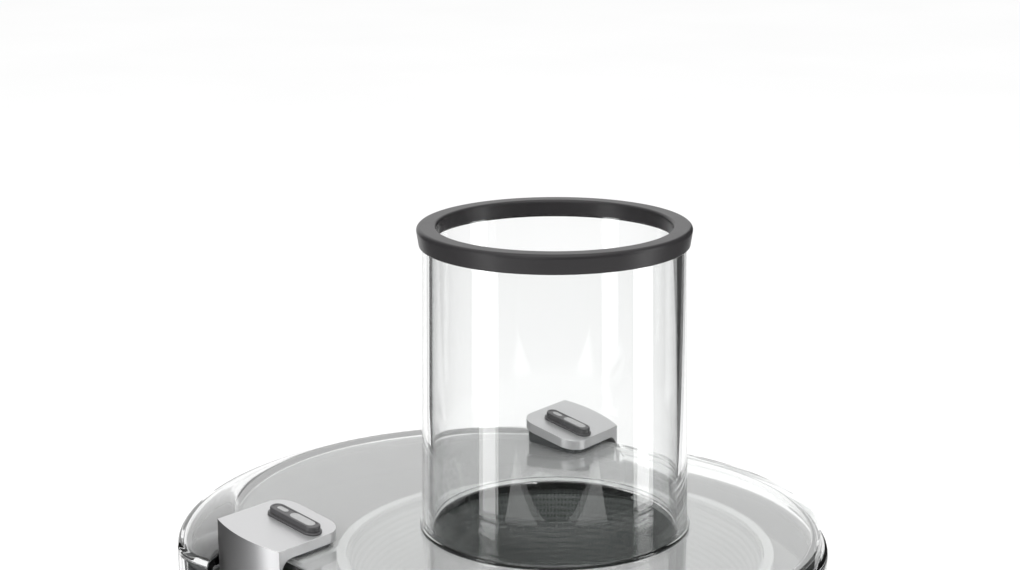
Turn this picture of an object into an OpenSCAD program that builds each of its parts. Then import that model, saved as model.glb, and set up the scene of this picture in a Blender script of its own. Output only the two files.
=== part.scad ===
// Centrifugal juicer: clear lid with a wide feed chute, two side clamps, a spinning
// filter basket over a motor, a slide-out pulp container and a tilting juice spout.
// Z is up, the table is z = 0, the spout points to +X and the clamps face -Y and +Y.

/* [Lid] */
// Height of the lid's flat top above the table
lid_top = 262; // [250:1:320]
// Radius of the lid's rim at the chute end
rim_near_r = 99.5; // [97:0.5:104]
// Radius of the rim's broad arc at the pulp end
rim_far_r = 121; // [115:1:126]
// Distance from the spin axis to the centre of that arc
rim_far_x = 25; // [20:1:30]
// Radius of the rim's two rounded shoulders
rim_corner_r = 28; // [20:1:34]
// Radius of the flat top at the chute end
flat_near_r = 96.5; // [92:0.5:96.5]
// Radius of the flat top at the pulp end
flat_far_r = 90; // [80:1:92]
// Distance from the spin axis to the centre of the flat top's pulp end
flat_far_x = 38; // [30:1:42]
// Drop of the sloping border from the flat top to the rim
border_drop = 5.5; // [4:0.5:8]
// Depth of the lid's skirt below the flat top
skirt_h = 24; // [20:1:26]
// Wall of the lid
lid_wall = 3; // [2.5:0.5:3.5]

/* [Feed chute] */
// Height of the chute's ring above the lid
chute_h = 112; // [80:1:150]
// Clear radius of the chute's mouth
mouth_r = 42; // [36:0.5:42.5]
// Outer radius of the chute at the ring
chute_top_r = 47; // [45:0.5:47.5]
// Outer radius of the chute where it meets the lid
chute_base_r = 48.5; // [47.5:0.5:49]
// Wall of the chute
chute_wall = 3.5; // [3:0.25:3.5]
// Outer radius of the mouth ring
ring_r = 49.3; // [49:0.1:52]
// Height of the mouth ring
ring_h = 7.1; // [6:0.1:12]
// Gap between the chute's lower end and the grating disc
chute_gap = 7; // [5:0.5:9]

/* [Clamps] */
// Distance from the spin axis to the middle of the clamps
clamp_x = 59.5; // [58:0.1:63]
// Width of a clamp along the lid's edge
clamp_w = 32; // [30:0.4:39]
// Reach of a clamp's plate over the lid
clamp_reach = 35; // [30:1:37]
// Slope of a clamp's plate, falling toward the spout, in degrees
clamp_slope = 8.5; // [0:0.5:9]
// Thickness of a clamp's plate and arm
clamp_t = 3.8; // [3:0.1:4]
// Height of a clamp's top above the lid
clamp_rise = 8; // [7:0.5:10]
// Width of a clamp where its hinge pin passes
knuckle_w = 24; // [20:1:26]
// Length of the grip pad on a clamp
pad_len = 25; // [18:1:27]
// Width of the grip pad on a clamp
pad_w = 7.5; // [6:0.5:9]
// Height of the grip pad above the clamp's plate
pad_h = 3; // [2:0.5:4]
// Radius of the steel hinge pins
pin_r = 2; // [1.5:0.25:2.5]

/* [Body] */
// Radius of the body around the motor
body_r = 84; // [70:0.5:86]
// Distance from the spin axis to the body's flat back
body_back = 80; // [76:1:81]
// Radius of the body's rounded rear edges
body_corner_r = 9; // [6:1:10]
// Height of the body's top deck
deck_z = 184; // [180:1:188]
// Height of the plinth that carries the body and the pulp container
plinth_z = 24; // [20:1:30]
// Wall of the body and the plinth
body_wall = 3; // [2.5:0.5:3.5]
// Height of the rubber feet
foot_h = 4; // [3:0.5:6]
// Radius of the rubber feet
foot_r = 11; // [8:0.5:13]
// Height of the brushed steel jacket's lower edge
jacket_z0 = 36; // [32:1:60]
// Height of the brushed steel jacket's upper edge
jacket_z1 = 158; // [140:1:164]

/* [Bowl and basket] */
// Wall of the juice bowl
bowl_wall = 2.8; // [2.4:0.2:3]
// Height of the bowl's tapered foot
bowl_foot_h = 20; // [14:1:22]
// Distance from the spin axis to the bowl's rear wall
bowl_back = 84; // [83:0.5:85]
// Radius of the basket's floor
basket_base_r = 53; // [50:0.5:54]
// Radius of the basket's rim
basket_rim_r = 80; // [74:0.5:80.5]
// Depth of the basket
basket_depth = 34; // [28:1:36]
// Radius of the grating disc
grate_r = 47; // [40:1:48]

/* [Spout and pulp container] */
// Distance from the spin axis to the tip of the spout
spout_reach = 150; // [140:1:160]
// Clear width of the spout
spout_w = 22; // [18:0.2:27]
// Wall of the pulp container
container_wall = 3.2; // [2.8:0.2:3.6]
// Distance from the spin axis to the container's front wall
container_front = 88; // [87:0.5:95]

/* [Motor] */
// Radius of the motor shaft
shaft_r = 4; // [3:0.25:5]
// Radius of the rotor
rotor_r = 22; // [18:0.5:24]
// Length of the rotor and the stator
core_h = 40; // [30:1:44]
// Outer radius of the stator
stator_r = 38; // [34:0.5:38]

/* [Speed knob] */
// Distance of the knob behind the spin axis
knob_x = 20; // [10:1:30]
// Height of the knob
knob_z = 98; // [80:1:120]
// Radius of the knob
knob_r = 21; // [16:0.5:24]

/* [Fits] */
// Radial clearance of a turning shaft or pin in its hole
run_gap = 0.05; // [0.02:0.01:0.1]
// Gap between covers and walls that lift apart
slip_gap = 0.5; // [0.4:0.1:0.8]

/* [Hidden] */
$fn = 96;
// Puts the spin axis where the whole juicer is centred on the origin
axis_x = (rim_far_x + rim_far_r - spout_reach) / 2;
eps = 0.01;
// Rim outline
shoulder_y = rim_near_r - rim_corner_r;
shoulder_x = rim_far_x + sqrt(pow(rim_far_r - rim_corner_r, 2) - pow(shoulder_y, 2));
rim_z = lid_top - border_drop;
skirt_z = lid_top - skirt_h;
// Clamps: the arm lies in a notch, flush with the rim
clamp_y = rim_near_r - 0.1;
notch_y = clamp_y - clamp_t - 0.9;
notch_w = clamp_w + 3;
bow_rise = 2.87;
clamp_bow_r = (pow(clamp_w / 2, 2) + pow(bow_rise, 2)) / (2 * bow_rise);
clamp_plate_z = lid_top + clamp_rise;
pad_shift = 2.5;
pivot_y = body_r + 7;
pivot_z = deck_z - 8;
knuckle_r = 5.5;
ear_w = 4;
ear_gap = 0.5;
ear_root = 5;
arm_foot_z = pivot_z + 14;
lug_y0 = clamp_y - clamp_reach + 3;
lug_y1 = clamp_y - clamp_t - 10;
// Bowl
bowl_z = deck_z;
bowl_split = skirt_z + 0.5;
rim_top = lid_top - border_drop - lid_wall - 3.5;
bowl_skin = lid_wall + slip_gap;
bowl_mid = bowl_z + bowl_foot_h;
seal_h = 2.4;
collar_r = 27;
collar_wall = 2.5;
collar_h = 26;
spigot_r = 25;
// Basket stack
basket_z = deck_z + 30;
frame_t = 2.5;
grate_z = basket_z + frame_t;
grate_t = 1.6;
basket_top = grate_z + basket_depth;
mesh_t = 0.8;
hub_r = 22;
coupling_r = 13;
coupling_z = deck_z + 6;
coupling_h = 16;
chute_foot_z = grate_z + grate_t + chute_gap;
chute_foot_r = chute_base_r - 1;
// Motor stack, from the bottom bracket up
bracket_t = 4;
bracket_r = 46;
bracket_z0 = plinth_z + 32;
bracket_z1 = deck_z - 28;
column_r = 3;
column_ring_r = 42;
core_z = bracket_z0 + 28;
coil_h = 8;
bearing_r = 8;
bearing_h = 6;
brush_z = bracket_z0 + 9;
comm_r = 11;
comm_h = 11;
fan_r = 30;
fan_h = 12;
fan_z = core_z + core_h + 12;
mount_xy = 26;
screw_r = 1.5;
head_r = 3;
// Spout
spout_z = bowl_z + 6;
spout_h = 22;
spout_wall = 2.5;
spout_end = 118;
spout_pivot_x = spout_end - 6;
spout_pivot_z = spout_z + 16;
trough_gap = 0.4;
trough_wall = 3;
trough_out = spout_w + 2 * (spout_wall + trough_gap + trough_wall);
// Plinth and feet
plinth_in = 8;
plate_z = foot_h;
plate_t = 3;
foot_spots = [[55, 50], [55, -50], [-100, 62], [-100, -62]];
screw_spots = [[70, 22], [70, -22], [-118, 30], [-118, -30]];
inlet_spot = [20, 46];

// Places a shape about the spin axis
module at_axis() translate([axis_x, 0, 0]) children();

module wedge(cx, r, a)
    translate([cx, 0]) polygon([[0, 0], [-2 * r * cos(a), 2 * r * sin(a)],
        [-2 * r, 0], [-2 * r * cos(a), -2 * r * sin(a)]]);

// Outline of the rim, drawn in by d
module rim2d(d) {
    half = atan2(shoulder_y, shoulder_x - rim_far_x);
    circle(r = rim_near_r - d);
    translate([-shoulder_x, d - rim_near_r])
        square([shoulder_x, 2 * (rim_near_r - d)]);
    for (s = [-1, 1])
        translate([-shoulder_x, s * shoulder_y]) circle(r = rim_corner_r - d);
    intersection() {
        translate([-rim_far_x, 0]) circle(r = rim_far_r - d);
        wedge(-rim_far_x, rim_far_r, half);
    }
}

// Outline of the flat top, drawn in by d
module flat2d(d) hull() {
    circle(r = flat_near_r - d);
    translate([-flat_far_x, 0]) circle(r = flat_far_r - d);
}

// The two clamp notches in the rim, grown by g
module notch2d(g)
    for (s = [-1, 1])
        translate([-clamp_x - notch_w / 2 - g, s > 0 ? notch_y - g : -notch_y + g - 40])
            square([notch_w + 2 * g, 40]);

module notched_rim2d(d) difference() {
    rim2d(d);
    notch2d(d);
}

// Outline of the body, drawn in by d
module body2d(d) {
    side = body_r - d;
    circle(r = side);
    translate([body_corner_r - body_back, -side])
        square([body_back - body_corner_r, 2 * side]);
    translate([d - body_back, body_corner_r - body_r])
        square([body_back - d, 2 * (body_r - body_corner_r)]);
    for (s = [-1, 1])
        translate([body_corner_r - body_back, s * (body_r - body_corner_r)])
            circle(r = body_corner_r - d);
}

// Everything in front of, or behind, a plane across the long axis
module ahead2d(x) translate([-x, -200]) square([400, 400]);
module behind2d(x) translate([-x - 400, -200]) square([400, 400]);

module slab(z0, z1) translate([0, 0, z0]) linear_extrude(z1 - z0) children();

module pipe(z0, z1, r_out, r_in) translate([0, 0, z0]) difference() {
    cylinder(h = z1 - z0, r = r_out);
    translate([0, 0, -1]) cylinder(h = z1 - z0 + 2, r = r_in);
}

module plate_hole(spots, z, r)
    for (p = spots) translate([p[0], p[1], z - 1]) cylinder(h = 30, r = r);

module base_plinth() color([0.17, 0.17, 0.18]) at_axis() {
    difference() {
        slab(foot_h, plinth_z) rim2d(plinth_in);
        slab(foot_h - 1, plinth_z - body_wall) rim2d(plinth_in + body_wall);
    }
    for (p = screw_spots) translate([p[0], p[1], 0])
        pipe(plate_z + plate_t, plinth_z - body_wall + eps, 4, screw_r);
}

module base_plate() color([0.14, 0.14, 0.15]) at_axis() difference() {
    slab(plate_z, plate_z + plate_t) rim2d(plinth_in + body_wall + 0.3);
    plate_hole(foot_spots, plate_z, 3.5);
    plate_hole(screw_spots, plate_z, screw_r);
    for (i = [-4:4]) translate([-26, i * 9 - 1.6, plate_z - 1]) cube([52, 3.2, plate_t + 2]);
}

module rubber_feet() color([0.08, 0.08, 0.08]) at_axis()
    for (p = foot_spots) translate([p[0], p[1], 0]) {
        cylinder(h = foot_h, r = foot_r);
        cylinder(h = foot_h + plate_t, r = 3.5);
    }

module plate_screws() color([0.62, 0.62, 0.64]) at_axis()
    for (p = screw_spots) translate([p[0], p[1], plate_z - 1.8]) {
        cylinder(h = 1.8, r = head_r);
        cylinder(h = 16, r = screw_r);
    }

// One pair of ears that hold a clamp's hinge pin, on the +Y side of the housing
module clamp_ears()
    for (s = [-1, 1])
        translate([-clamp_x + s * (knuckle_w / 2 + ear_gap + ear_w / 2), 0, 0]) difference() {
            union() {
                translate([-ear_w / 2, body_r - ear_root, pivot_z - knuckle_r])
                    cube([ear_w, pivot_y - body_r + ear_root, 2 * knuckle_r]);
                translate([-ear_w / 2, pivot_y, pivot_z]) rotate([0, 90, 0])
                    cylinder(h = ear_w, r = knuckle_r);
            }
            translate([-ear_w, pivot_y, pivot_z]) rotate([0, 90, 0])
                cylinder(h = 2 * ear_w, r = pin_r);
        }

module clamp_brackets() color([0.30, 0.30, 0.31]) at_axis() difference() {
    union() {
        clamp_ears();
        mirror([0, 1, 0]) clamp_ears();
    }
    slab(0, lid_top) body2d(0);
}

module base_housing() color([0.63, 0.64, 0.65]) at_axis() {
    difference() {
        slab(plinth_z, deck_z) body2d(0);
        slab(plinth_z - 1, deck_z - 4) body2d(body_wall);
        translate([0, 0, deck_z - 5]) cylinder(h = 6, r = 16);
        translate([-knob_x, -body_r - 1, knob_z]) rotate([-90, 0, 0])
            cylinder(h = 8, r = 6);
        translate([-inlet_spot[0], body_r - 5, inlet_spot[1]]) rotate([-90, 0, 0])
            cylinder(h = 8, r = 8);
        for (i = [0:7]) translate([-body_back - 1, -38 + i * 10, 60])
            cube([6, 4, 44]);
    }
    pipe(deck_z - eps, deck_z + 6, spigot_r, spigot_r - 3);
    for (x = [-1, 1], y = [-1, 1]) translate([x * mount_xy, y * mount_xy, 0])
        pipe(bracket_z1 + bracket_t, deck_z - 4 + eps, 5, screw_r);
}

module steel_jacket() color([0.72, 0.73, 0.74]) at_axis() difference() {
    slab(jacket_z0, jacket_z1) intersection() {
        body2d(-0.8);
        ahead2d(body_back - body_corner_r);
    }
    slab(jacket_z0 - 1, jacket_z1 + 1) body2d(0);
    translate([-knob_x, -body_r - 4, knob_z]) rotate([-90, 0, 0])
        cylinder(h = 8, r = knob_r + 5.2);
    translate([-inlet_spot[0], body_r - 4, inlet_spot[1]]) rotate([-90, 0, 0])
        cylinder(h = 8, r = 11.2);
}

module shaft_seal() color([0.10, 0.10, 0.10]) at_axis()
    pipe(deck_z - 4, deck_z + 1, 16, shaft_r + run_gap);

module knob_bezel() color([0.16, 0.16, 0.17]) at_axis()
    translate([-knob_x, 0, knob_z]) rotate([90, 0, 0])
        pipe(body_r, body_r + 3, knob_r + 5, shaft_r + run_gap);

module speed_knob() color([0.70, 0.71, 0.72]) at_axis()
    translate([-knob_x, 0, knob_z]) rotate([90, 0, 0]) difference() {
        translate([0, 0, body_r + 3.4]) {
            cylinder(h = 7, r = knob_r);
            translate([-3.5, -knob_r + 3, 0]) cube([7, 2 * knob_r - 6, 11.5]);
        }
        cylinder(h = body_r + 9, r = shaft_r);
    }

module knob_shaft() color([0.75, 0.75, 0.76]) at_axis()
    translate([-knob_x, 0, knob_z]) rotate([90, 0, 0])
        translate([0, 0, body_r - 14]) cylinder(h = 23, r = shaft_r);

module rotary_switch() color([0.12, 0.12, 0.13]) at_axis()
    translate([-knob_x, 0, knob_z]) rotate([90, 0, 0]) difference() {
        translate([-13, -13, body_r - body_wall - 11]) cube([26, 26, 11]);
        cylinder(h = 2 * body_r, r = shaft_r + run_gap);
    }

module control_board() color([0.10, 0.32, 0.18]) at_axis()
    translate([-58, body_r - 26, plinth_z + 12]) {
        cube([60, 1.6, 34]);
        translate([8, -9, 4]) cube([14, 9 + eps, 12]);
        translate([34, -6, 14]) rotate([-90, 0, 0]) cylinder(h = 6 + eps, r = 5);
        translate([48, -8, 6]) cube([8, 8 + eps, 20]);
    }

module safety_switch() color([0.13, 0.13, 0.14]) at_axis()
    translate([-clamp_x - 10, body_r - body_wall - 9, pivot_z - 20]) {
        cube([20, 8.5, 12]);
        translate([7, 2, 12 - eps]) cube([5, 4, 3]);
    }

module cord_inlet() color([0.12, 0.12, 0.12]) at_axis()
    translate([-inlet_spot[0], 0, inlet_spot[1]]) rotate([-90, 0, 0]) {
        pipe(body_r - body_wall - 3, body_r + eps, 8, 3.8);
        pipe(body_r, body_r + 3, 11, 3.8);
    }

module motor_frame() color([0.55, 0.56, 0.57]) at_axis() {
    for (z = [bracket_z0, bracket_z1]) difference() {
        translate([0, 0, z]) cylinder(h = bracket_t, r = bracket_r);
        translate([0, 0, z - 1]) cylinder(h = bracket_t + 2, r = bearing_r);
        for (a = [0:90:270]) rotate(a + 45) translate([18, -7, z - 1])
            cube([13, 14, bracket_t + 2]);
        for (x = [-1, 1], y = [-1, 1])
            translate([x * mount_xy, y * mount_xy, z - 1])
                cylinder(h = bracket_t + 2, r = screw_r + 0.2);
    }
    for (a = [0:90:270]) rotate(a) translate([column_ring_r, 0, bracket_z0 + bracket_t - eps])
        cylinder(h = bracket_z1 - bracket_z0 - bracket_t + 2 * eps, r = column_r);
}

module motor_screws() color([0.62, 0.62, 0.64]) at_axis()
    for (x = [-1, 1], y = [-1, 1])
        translate([x * mount_xy, y * mount_xy, bracket_z1 - 2.2]) {
            cylinder(h = 2.2, r = head_r);
            cylinder(h = 18, r = screw_r);
        }

module stator_core() color([0.42, 0.42, 0.43]) at_axis()
    pipe(core_z, core_z + core_h, stator_r, rotor_r + 0.5);

module field_coils() color([0.72, 0.42, 0.20]) at_axis()
    for (z = [core_z - coil_h, core_z + core_h])
        pipe(z, z + coil_h, stator_r - 3, rotor_r + 2);

module bearing() difference() {
    cylinder(h = bearing_h, r = bearing_r);
    translate([0, 0, -1]) cylinder(h = bearing_h + 2, r = shaft_r + run_gap);
}

module upper_bearing() color([0.75, 0.76, 0.77]) at_axis()
    translate([0, 0, bracket_z1 + bracket_t - bearing_h]) bearing();

module lower_bearing() color([0.75, 0.76, 0.77]) at_axis()
    translate([0, 0, bracket_z0]) bearing();

module brush_holders() color([0.70, 0.58, 0.30]) at_axis()
    for (s = [0, 180]) rotate(s) difference() {
        translate([comm_r + 2.5, -5, brush_z]) cube([20, 10, 9]);
        translate([comm_r + 1.5, -3.5, brush_z + 1.5]) cube([20, 7, 6]);
    }

module carbon_brushes() color([0.20, 0.20, 0.20]) at_axis()
    for (s = [0, 180]) rotate(s)
        translate([comm_r + 0.3, -3.5, brush_z + 1.5]) cube([14, 7, 6]);

module motor_shaft() color([0.72, 0.72, 0.73]) at_axis()
    translate([0, 0, bracket_z0 - 4])
        cylinder(h = coupling_z + coupling_h - 4 - bracket_z0, r = shaft_r);

module rotor_core() color([0.46, 0.46, 0.47]) at_axis() difference() {
    pipe(core_z, core_z + core_h, rotor_r, shaft_r);
    for (a = [0:30:330]) rotate(a) translate([rotor_r - 2.5, -1, core_z - 1])
        cube([5, 2, core_h + 2]);
}

module rotor_windings() color([0.75, 0.40, 0.18]) at_axis()
    for (z = [core_z - coil_h + 1, core_z + core_h])
        pipe(z, z + coil_h - 1, rotor_r - 3, shaft_r);

module commutator() color([0.78, 0.50, 0.30]) at_axis()
    pipe(brush_z - 1, brush_z - 1 + comm_h, comm_r, shaft_r);

module cooling_fan() color([0.20, 0.20, 0.21]) at_axis() {
    pipe(fan_z, fan_z + fan_h, 8, shaft_r);
    pipe(fan_z, fan_z + 1.6, fan_r, 8 - eps);
    for (a = [0:36:324]) rotate(a) translate([7.5, -0.8, fan_z])
        cube([fan_r - 8, 1.6, fan_h]);
}

module drive_coupling() color([0.18, 0.18, 0.19]) at_axis() {
    pipe(coupling_z, coupling_z + coupling_h, coupling_r - 2, shaft_r);
    for (a = [0:60:300]) rotate(a) translate([coupling_r - 4, -2, coupling_z])
        cube([3.8, 4, coupling_h]);
}

module basket_hub() color([0.22, 0.22, 0.23]) at_axis() difference() {
    translate([0, 0, coupling_z + 6]) cylinder(h = basket_z - coupling_z - 6, r = hub_r);
    translate([0, 0, coupling_z + 5]) cylinder(h = coupling_h - 5, r = coupling_r);
    translate([0, 0, coupling_z + 5]) cylinder(h = 40, r = shaft_r);
}

module basket_frame() color([0.24, 0.24, 0.25]) at_axis() {
    translate([0, 0, basket_z]) cylinder(h = frame_t, r = basket_base_r);
    pipe(basket_top - 3, basket_top, basket_rim_r, basket_rim_r - 3.5);
    for (a = [0:60:300]) rotate(a) rotate_extrude(angle = 4)
        polygon([[basket_base_r - 0.2, basket_z], [basket_base_r, basket_z + frame_t],
            [basket_rim_r - 3.5, basket_top - 3 + eps], [basket_rim_r - 0.5, basket_top - 3 + eps],
            [basket_base_r + 2, basket_z]]);
}

module filter_basket() color([0.66, 0.67, 0.68]) at_axis() rotate_extrude()
    polygon([[basket_base_r - mesh_t - 0.2, grate_z], [basket_base_r - 0.2, grate_z],
        [basket_rim_r - 3.7, basket_top - 3], [basket_rim_r - 3.7, basket_top - 1],
        [basket_rim_r - 3.7 - mesh_t, basket_top - 1],
        [basket_rim_r - 3.7 - mesh_t, basket_top - 3]]);

module grating_disc() color([0.60, 0.61, 0.62]) at_axis() {
    translate([0, 0, grate_z]) cylinder(h = grate_t, r = grate_r);
    translate([0, 0, grate_z]) cylinder(h = grate_t + 1.6, r = 7);
    for (ring = [0:3], i = [0:11 + 6 * ring])
        rotate(i * 360 / (12 + 6 * ring) + 7 * ring)
            translate([13 + 9 * ring, -0.6, grate_z + grate_t - 0.2]) cube([3, 1.2, 1.4]);
}

// Outside of the bowl, drawn in by d from its skin, with its floor raised by lift
module bowl_form(d, lift, top) difference() {
    union() {
        hull() {
            slab(bowl_z + lift, bowl_z + lift + eps) body2d(d);
            slab(bowl_mid, bowl_mid + eps) intersection() {
                rim2d(bowl_skin + d);
                ahead2d(bowl_back - d);
            }
        }
        slab(bowl_mid, top) intersection() {
            rim2d(bowl_skin + d);
            ahead2d(bowl_back - d);
        }
    }
    slab(bowl_z - 1, top + 1) notch2d(bowl_skin + d);
}

module juice_bowl() color([0.70, 0.72, 0.71]) at_axis() {
    difference() {
        bowl_form(0, 0, bowl_split);
        difference() {
            bowl_form(bowl_wall, bowl_wall, bowl_split + 1);
            pipe(bowl_z, bowl_z + collar_h, collar_r + collar_wall, collar_r - 1);
        }
        translate([0, 0, bowl_z - 1]) cylinder(h = collar_h + 2, r = collar_r);
        outlet_bore();
    }
}

// Rectangular way out of the bowl, low on the spout side
module outlet_bore() translate([body_r - 14, -spout_w / 2, spout_z + spout_wall])
    cube([60, spout_w, spout_h - 2 * spout_wall]);

module outlet_tube() color([0.70, 0.72, 0.71]) at_axis() difference() {
    translate([body_r - 10, -spout_w / 2 - spout_wall, spout_z])
        cube([spout_end - body_r + 10, spout_w + 2 * spout_wall, spout_h]);
    outlet_bore();
    bowl_form(0, 0, bowl_split);
    translate([spout_pivot_x, -30, spout_pivot_z]) rotate([-90, 0, 0])
        cylinder(h = 60, r = pin_r);
}

// Ring inside the lid's skirt: it tops the bowl and runs on round the pulp opening
module rim_band(z0, z1, d0, d1) slab(z0, z1) difference() {
    notched_rim2d(bowl_skin + d0);
    notched_rim2d(bowl_skin + d1);
}

module bowl_rim() color([0.24, 0.24, 0.25]) at_axis() rim_band(bowl_split, rim_top, 0, bowl_wall);

module bowl_seal() color([0.30, 0.31, 0.31]) at_axis()
    rim_band(rim_top, rim_top + seal_h, 0.4, bowl_wall - 0.4);

module lid_cover() color([0.86, 0.88, 0.88, 0.35]) at_axis() difference() {
    union() {
        difference() {
            hull() {
                slab(lid_top - 1, lid_top) flat2d(0);
                slab(rim_z - 1, rim_z) rim2d(0);
            }
            hull() {
                slab(lid_top - lid_wall - 1, lid_top - lid_wall) flat2d(2);
                slab(rim_z - lid_wall - 1, rim_z - lid_wall) rim2d(lid_wall);
            }
            slab(rim_z - lid_wall - 2, rim_z - lid_wall) rim2d(lid_wall);
        }
        slab(skirt_z, rim_z - 0.5) difference() {
            notched_rim2d(0);
            notched_rim2d(lid_wall);
        }
    }
    slab(skirt_z - 1, lid_top + 1) notch2d(0);
    translate([0, 0, lid_top - 10]) cylinder(h = 20, r = chute_foot_r + run_gap);
}

module lid_lugs() color([0.30, 0.31, 0.31]) at_axis()
    for (s = [-1, 1]) translate([-clamp_x, s * (lug_y0 + lug_y1) / 2, lid_top]) difference() {
        translate([-13, -(lug_y1 - lug_y0) / 2, 0]) cube([26, lug_y1 - lug_y0, clamp_rise]);
        translate([0, 0, clamp_rise - clamp_t - 0.5]) rotate([0, clamp_slope, 0])
            translate([-30, -30, 0]) cube([60, 60, 20]);
    }

module feed_chute() color([0.88, 0.90, 0.90, 0.30]) at_axis() difference() {
    union() {
        translate([0, 0, chute_foot_z]) cylinder(h = lid_top - chute_foot_z + eps, r = chute_foot_r);
        translate([0, 0, lid_top])
            cylinder(h = chute_h - 2.6, r1 = chute_base_r, r2 = chute_top_r);
        translate([0, 0, lid_top]) cylinder(h = 1.6, r = chute_base_r + 0.8);
    }
    translate([0, 0, chute_foot_z - 1])
        cylinder(h = lid_top - chute_foot_z + 1 + eps, r = chute_base_r - chute_wall);
    translate([0, 0, lid_top])
        cylinder(h = chute_h, r1 = chute_base_r - chute_wall, r2 = chute_top_r - chute_wall);
}

module chute_ring() color([0.16, 0.16, 0.17]) at_axis() translate([0, 0, lid_top + chute_h])
    rotate_extrude() polygon([[mouth_r, -ring_h + 1.5], [mouth_r, -0.8], [mouth_r + 0.8, 0],
        [ring_r - 2, 0], [ring_r - 0.6, -0.6], [ring_r, -2], [ring_r - 1.1, -ring_h],
        [chute_top_r + 0.15, -ring_h], [chute_top_r + 0.15, -2.6],
        [chute_top_r - chute_wall - 0.15, -2.6],
        [chute_top_r - chute_wall - 0.15, -ring_h + 1.5]]);

// Side profile of a clamp's plate and the arm's top on the +Y side, as (y, z), the plate's top at 0
module clamp_top_profile() {
    inner = clamp_y - clamp_t;
    fillet = 5;
    translate([clamp_y - clamp_reach, -clamp_t]) square([clamp_reach, clamp_t]);
    translate([inner, -clamp_t - fillet - 6]) square([clamp_t, clamp_t + fillet + 6]);
    difference() {
        translate([inner - fillet, -clamp_t - fillet]) square(fillet + eps);
        translate([inner - fillet, -clamp_t - fillet]) circle(r = fillet);
    }
}

// Side profile of a clamp's arm and knuckle on the +Y side, as (y, z)
module clamp_arm_profile() {
    inner = clamp_y - clamp_t;
    translate([inner, arm_foot_z]) square([clamp_t, clamp_plate_z - arm_foot_z - 9]);
    polygon([[clamp_y, arm_foot_z + eps], [inner, arm_foot_z + eps], [pivot_y - 1.5, pivot_z + 4.6],
        [pivot_y + 5, pivot_z - 2]]);
    translate([pivot_y, pivot_z]) circle(r = knuckle_r);
}

// Plan of a clamp: rounded inner corners and a bowed outer edge
module clamp_plan() intersection() {
    union() {
        translate([-clamp_w / 2, clamp_y - clamp_reach + 8]) square([clamp_w, clamp_reach]);
        translate([8 - clamp_w / 2, clamp_y - clamp_reach]) square([clamp_w - 16, 20]);
        for (s = [-1, 1])
            translate([s * (clamp_w / 2 - 8), clamp_y - clamp_reach + 8]) circle(r = 8);
    }
    translate([0, clamp_y - clamp_bow_r]) circle(r = clamp_bow_r);
}

// Front view of a clamp, as (x, z): it narrows to the knuckle between the ears
module clamp_face() {
    half = clamp_w / 2;
    foot = knuckle_w / 2;
    polygon([[-half, clamp_plate_z + 8], [-half, arm_foot_z + 26], [-foot, arm_foot_z + 4],
        [-foot, pivot_z - 20], [foot, pivot_z - 20], [foot, arm_foot_z + 4],
        [half, arm_foot_z + 26], [half, clamp_plate_z + 8]]);
}

module clamp() translate([-clamp_x, 0, 0]) difference() {
    intersection() {
        union() {
            translate([0, 0, clamp_plate_z]) rotate([0, clamp_slope, 0]) rotate([90, 0, 90])
                translate([0, 0, -clamp_w]) linear_extrude(2 * clamp_w) clamp_top_profile();
            rotate([90, 0, 90]) translate([0, 0, -clamp_w / 2]) linear_extrude(clamp_w)
                clamp_arm_profile();
        }
        slab(pivot_z - 20, clamp_plate_z + 9) clamp_plan();
        rotate([90, 0, 0]) translate([0, 0, -200]) linear_extrude(200) clamp_face();
    }
    translate([-clamp_w, pivot_y, pivot_z]) rotate([0, 90, 0])
        cylinder(h = 2 * clamp_w, r = pin_r + run_gap);
}

module clamp_front() color([0.78, 0.78, 0.79]) at_axis() mirror([0, 1, 0]) clamp();
module clamp_back() color([0.78, 0.78, 0.79]) at_axis() clamp();

module pad() translate([-clamp_x, clamp_y - clamp_reach + 12, clamp_plate_z])
    rotate([0, clamp_slope, 0]) translate([pad_shift, 0, 0]) {
    run = pad_len / 2 - pad_w / 2;
    slab(0, pad_h) {
        for (s = [-1, 1]) translate([s * run, 0]) circle(d = pad_w);
        square([2 * run, pad_w], center = true);
    }
}

module pad_front() color([0.22, 0.22, 0.23]) at_axis() mirror([0, 1, 0]) pad();
module pad_back() color([0.22, 0.22, 0.23]) at_axis() pad();

module clamp_pins() color([0.75, 0.75, 0.76]) at_axis()
    for (s = [-1, 1]) translate([-clamp_x - knuckle_w / 2 - ear_gap - ear_w, s * pivot_y, pivot_z])
        rotate([0, 90, 0]) cylinder(h = knuckle_w + 2 * ear_gap + 2 * ear_w, r = pin_r);

// Plan of the pulp container, drawn in by d
module container2d(d) intersection() {
    rim2d(0.6 + d);
    behind2d(container_front + d);
}

module pulp_container() color([0.20, 0.20, 0.21]) at_axis() {
    foot = plinth_z + 0.2;
    band_z = skirt_z - 38;
    difference() {
        slab(foot, skirt_z - 0.5) container2d(0);
        slab(foot + container_wall, skirt_z) container2d(container_wall);
        slab(band_z, band_z + 24) difference() {
            rim2d(0);
            rim2d(2);
        }
    }
}

module container_band() color([0.70, 0.71, 0.72]) at_axis()
    slab(skirt_z - 38, skirt_z - 14) intersection() {
        difference() {
            rim2d(0.6);
            rim2d(2);
        }
        behind2d(container_front);
    }

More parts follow.
